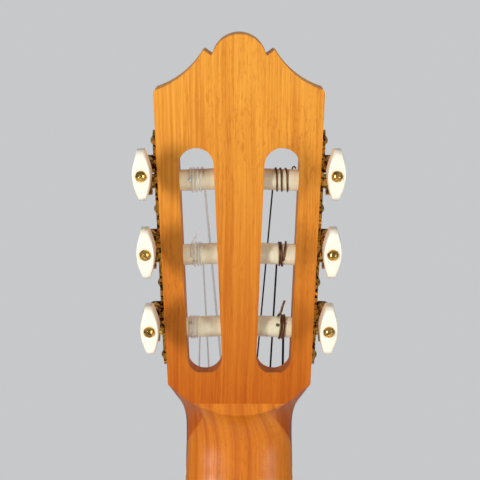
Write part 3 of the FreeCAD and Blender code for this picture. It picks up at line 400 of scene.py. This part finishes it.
# Which material each CAD node takes: by its whole name, or by the first word of a machine part's name.
NODE_MATERIALS = {
    "headstock": "head_wood", "neck_shaft": "neck_wood", "headstock_veneer": "veneer", "heel_cap": "body",
    "fingerboard": "board", "bridge": "board", "frets": "steel", "nut": "bone", "saddle": "bone",
    "soundboard_bass": "top", "soundboard_treble": "top", "rosette": "rosette",
    "bindings": "binding", "back_strip": "binding",
    "side_bass": "body", "side_treble": "body", "back_bass": "body", "back_treble": "body",
    "linings": "inner", "neck_block": "inner", "tail_block": "inner", "soundboard_braces": "inner",
    "bridge_patch": "inner", "back_braces": "inner",
    # the straight bass strings take the darker copy, which is painted shade
    "strings_treble": "nylon", "strings_bass": "wound_shaded",
    "tuner_plate_bass": "antique", "tuner_plate_treble": "antique", "plate_screws": "gold",
}
MACHINE_MATERIALS = {
    "roller": "roller", "gear": "gold", "worm": "gold", "button": "button", "winding": "nylon",
}


def dress_cad_nodes(m):
    for name, node in NODES.items():
        key = NODE_MATERIALS.get(name) or MACHINE_MATERIALS[name.split("_")[0]]
        node.data.materials.clear()
        node.data.materials.append(m[key])


# --- each machine's own frame -----------------------------------------------------------------
class Machine:
    """A roller's axis runs out along `out`, its worm back along `back`, and `up` is towards the tip."""

    def __init__(self, string):
        post, key = JOINTS["post_turn_" + string], JOINTS["key_turn_" + string]
        self.string = string
        self.out = Vector(post["axis"]).normalized()
        self.back = Vector(key["axis"]).normalized()
        self.up = self.back.cross(self.out).normalized()
        if self.up.z < 0:
            self.up.negate()
        self.origin = Vector(post["pos_m"])
        self.worm = Vector(key["pos_m"])

    def at(self, x, y, z):
        """A point in millimetres out, up and back from the roller's axis at the head's side."""
        return self.origin + (self.out * x + self.up * y + self.back * z) * MM

    def on_worm(self, x, y, z):
        return self.worm + (self.out * x + self.up * y + self.back * z) * MM


# --- mesh helpers -----------------------------------------------------------------------------
def mesh_object(name, verts, faces, material, smooth=True):
    mesh = bpy.data.meshes.new(name)
    mesh.from_pydata([tuple(v) for v in verts], [], faces)
    mesh.validate()
    mesh.update()
    mesh.materials.append(material)
    if smooth:
        mesh.polygons.foreach_set("use_smooth", [True] * len(mesh.polygons))
    made = bpy.data.objects.new(name, mesh)
    bpy.context.scene.collection.objects.link(made)
    return made


def stacked_faces(levels, ring):
    """Faces of a closed stack of rings with the same number of points: its wall, its foot and its top."""
    faces = []
    for i in range(levels - 1):
        for k in range(ring):
            n = (k + 1) % ring
            faces.append((i * ring + k, i * ring + n, (i + 1) * ring + n, (i + 1) * ring + k))
    faces.append(tuple(reversed(range(ring))))
    faces.append(tuple((levels - 1) * ring + k for k in range(ring)))
    return faces


def fix_normals(obj):
    b = bmesh.new()
    b.from_mesh(obj.data)
    bmesh.ops.recalc_face_normals(b, faces=b.faces)
    b.to_mesh(obj.data)
    b.free()


def tube(name, points, radius, material, sides):
    """A round tube along points, with closed ends."""
    verts, faces = [], []
    tangent = (points[1] - points[0]).normalized()
    side = tangent.orthogonal().normalized()
    for i, p in enumerate(points):
        ahead = points[min(i + 1, len(points) - 1)] - points[max(i - 1, 0)]
        tangent = ahead.normalized()
        side = (side - tangent * side.dot(tangent)).normalized()
        other = tangent.cross(side)
        for k in range(sides):
            a = 2 * math.pi * k / sides
            verts.append(p + (side * math.cos(a) + other * math.sin(a)) * radius)
    return mesh_object(name, verts, stacked_faces(len(points), sides), material)


# --- camera, light and stage ------------------------------------------------------------------
def make_camera():
    data = bpy.data.cameras.new("camera")
    data.lens = 105.0
    data.sensor_width = 36.0
    data.clip_start, data.clip_end = 0.01, 50.0
    camera = bpy.data.objects.new("camera", data)
    camera.location = (0.0004, -0.6833, 0.1097)
    camera.rotation_euler = (math.radians(90), 0, 0)
    bpy.context.scene.collection.objects.link(camera)
    bpy.context.scene.camera = camera


def area_light(name, location, target, size, power, spread=180.0, mirrored=True):
    data = bpy.data.lights.new(name, "AREA")
    data.shape = "RECTANGLE"
    data.size, data.size_y = size
    data.energy = power
    data.spread = math.radians(spread)
    lamp = bpy.data.objects.new(name, data)
    lamp.location = location
    lamp.rotation_euler = (Vector(target) - Vector(location)).to_track_quat("-Z", "Y").to_euler()
    lamp.visible_camera = False
    lamp.visible_glossy = mirrored
    bpy.context.scene.collection.objects.link(lamp)


def make_lights():
    """Two soft boxes beside the camera for the head; the others are for the body and the floor, and leave
    no glare."""
    head = (0, -0.03, 0.1)
    area_light("key_left", (-0.47, -0.62, 0.08), head, (0.16, 0.3), 5.0)
    area_light("fill_right", (0.54, -0.62, 0.1), head, (0.2, 0.5), 3.65)
    area_light("body_front", (0.5, 1.7, -0.35), (0, 0, -0.62), (0.8, 0.8), 2.8, spread=50.0, mirrored=False)
    area_light("body_back", (-0.5, -1.4, -0.4), (0, 0, -0.68), (0.5, 0.5), 2.8, spread=50.0, mirrored=False)
    area_light("overhead", (0.2, 0.9, 1.7), (0.0, 0.25, -0.8), (1.4, 1.4), 6.0, spread=110.0, mirrored=False)
    make_world()
    bpy.context.scene.view_settings.view_transform = "Standard"


def make_world():
    """A plain pale surround; what lights the guitar from it is dimmer, and brighter above than below."""
    world = bpy.data.worlds.new("studio")
    world.use_nodes = True
    tree = world.node_tree
    back = tree.nodes["Background"]
    direction = tree.nodes.new("ShaderNodeTexCoord").outputs["Generated"]
    split = tree.nodes.new("ShaderNodeSeparateXYZ")
    tree.links.new(direction, split.inputs["Vector"])
    shift = tree.nodes.new("ShaderNodeMapRange")
    shift.inputs["From Min"].default_value = -1.0
    shift.inputs["From Max"].default_value = 1.0
    tree.links.new(split.outputs["Z"], shift.inputs["Value"])
    ramp = tree.nodes.new("ShaderNodeValToRGB")
    tree.links.new(shift.outputs["Result"], ramp.inputs["Fac"])
    below, above = 0.1, 0.33
    for element, tone in zip(ramp.color_ramp.elements, (below, above)):
        element.color = (tone, tone, tone * 1.02, 1)
    choose = tree.nodes.new("ShaderNodeMix")
    choose.data_type = "RGBA"
    seen = tree.nodes.new("ShaderNodeLightPath").outputs["Is Camera Ray"]
    tree.links.new(seen, choose.inputs["Factor"])
    tree.links.new(ramp.outputs["Color"], choose.inputs["A"])
    choose.inputs["B"].default_value = (*srgb(199, 200, 202), 1)
    tree.links.new(choose.outputs["Result"], back.inputs["Color"])
    bpy.context.scene.world = world


def make_floor(m):
    low = CAD_BOX[0].z - 0.0005
    half = 3.4
    corners = [(x * half, y * half, low) for x, y in ((-1, -1), (1, -1), (1, 1), (-1, 1))]
    floor = mesh_object("floor", corners, [(0, 1, 2, 3)], m["floor"], smooth=False)


# --- pieces -----------------------------------------------------------------------------------
def lens_loop(half_length, half_width, flat, count):
    """One lens-shaped loop: two bowed sides between two short flats."""
    points = []
    bow = half_width - flat
    for side in (1, -1):
        for i in range(count):
            t = -1 + 2 * i / (count - 1)
            y = half_length * t * side
            x = side * (flat + bow * (1 - t * t))
            points.append((x, y))
    return points


def make_button(machine, m):
    """A key of cream plastic, rounded along every edge, narrower where it meets its shaft."""
    edge, span = BUTTON_EDGE, BUTTON_END - BUTTON_START
    edge_steps, wall_steps, side_points = 6, 22, 20
    # (height, how far the loop is drawn in) from the foot's rounded edge up to the top's
    angles = [math.pi / 2 * i / edge_steps for i in range(edge_steps + 1)]
    rounded = [(edge * (1 - math.cos(a)), edge * (1 - math.sin(a))) for a in angles]
    levels = rounded + [(edge + (span - 2 * edge) * i / wall_steps, 0.0) for i in range(1, wall_steps)]
    levels += [(span - height, inset) for height, inset in reversed(rounded)]
    verts = []
    for z, inset in levels:
        foot = min(1.0, z / BUTTON_FOOT_HEIGHT)
        crown = max(0.0, (z - span + BUTTON_CROWN_HEIGHT) / BUTTON_CROWN_HEIGHT)
        half = BUTTON_FOOT_HALF + (BUTTON_HALF_LENGTH - BUTTON_FOOT_HALF) * math.sin(math.pi / 2 * foot)
        half -= BUTTON_CROWN_DROP * (1 - math.sqrt(1 - crown * crown))
        flat = max(BUTTON_FLAT - inset, THINNEST_FLAT)
        for x, y in lens_loop(half - inset, BUTTON_HALF_WIDTH - inset, flat, side_points):
            verts.append(machine.on_worm(x, y, BUTTON_START + z))
    faces = stacked_faces(len(levels), 2 * side_points)
    made = mesh_object("key_button_" + machine.string, verts, faces, m["button"])
    fix_normals(made)
    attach(made, "key_" + machine.string)
    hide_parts("button_" + machine.string)


# Turns of each string round its roller, in its machine's frame: diameter; then (place along the roller,
# turns since the string arrived in front, height above the roller) at each point that shapes it; then the
# loose end as (x, y, z) points, all in millimetres.
WINDINGS = {
    "e4": (0.71, [(-15.6, 0, 0), (-13.6, 1.5, 0), (-12.2, 3.5, 0), (-11.2, 4.6, 0)], []),
    "b3": (0.82, [(-18.4, 0, 0), (-16.9, 1.4, 0), (-15.2, 2.5, 0.4), (-13.6, 3.5, 0)],
           [(-14.6, 6.6, 1.6), (-16.2, 9.0, 2.6), (-17.8, 12.4, 3.0)]),
    "g3": (1.02, [(-20.6, 0, 0), (-18.6, 1.0, 0), (-16.6, 2.0, 0), (-14.9, 3.1, 0), (-14.6, 3.45, -0.3)], []),
    "d3": (0.74, [(-20.9, 0, 0), (-19.7, 0.5, 0), (-17.6, 1.5, 0), (-15.0, 2.5, 0), (-14.3, 2.8, 0)],
           [(-12.6, 5.4, -1.0), (-10.9, 5.3, -0.9)]),
    "a2": (0.89, [(-17.6, 0, 0), (-16.9, 0.5, 0), (-16.1, 1.5, 0), (-14.0, 2.1, 0.5), (-15.2, 2.55, -0.2)],
           []),
    "e2": (1.09, [(-13.3, 0, 0), (-13.5, 0.5, 0), (-14.9, 1.5, 0), (-16.0, 2.2, 0)],
           [(-15.9, 6.2, 2.6), (-14.9, 8.4, 3.3), (-14.5, 10.6, 3.6), (-13.6, 13.6, 3.8)]),
}


def smooth_path(points, steps):
    """A Catmull-Rom curve through points of any dimension."""
    out = []
    padded = [points[0], *points, points[-1]]
    for a, b, c, d in zip(padded, padded[1:], padded[2:], padded[3:]):
        for i in range(steps):
            t = i / steps
            out.append(tuple(
                0.5 * (2 * q + (r - p) * t + (2 * p - 5 * q + 4 * r - u) * t * t
                       + (3 * q - p - 3 * r + u) * t ** 3)
                for p, q, r, u in zip(a, b, c, d)))
    out.append(points[-1])
    return out


def make_winding(machine, m):
    """The string's turns round its roller, from where it arrives in front to its end."""
    diameter, shape, loose = WINDINGS[machine.string]
    radius = ROLLER_R + diameter / 2 + STRING_GAP
    points = []
    for x, turn, lift in smooth_path(shape, 40):
        a = 2 * math.pi * turn
        points.append((x, (radius + lift) * math.sin(a), -(radius + lift) * math.cos(a)))
    if loose:
        points += smooth_path([points[-1], *loose], 8)[1:]
    points = [machine.at(*p) for p in points]
    bass = machine.out.x > 0
    made = tube("turns_" + machine.string, points, diameter / 2 * MM, m["wound" if bass else "nylon"], 10)
    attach(made, "post_" + machine.string)
    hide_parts("winding_" + machine.string)


def main():
    make_camera()
    m = make_materials()
    dress_cad_nodes(m)
    make_lights()
    make_floor(m)
    for string in WINDINGS:
        machine = Machine(string)
        make_button(machine, m)
        make_winding(machine, m)


main()
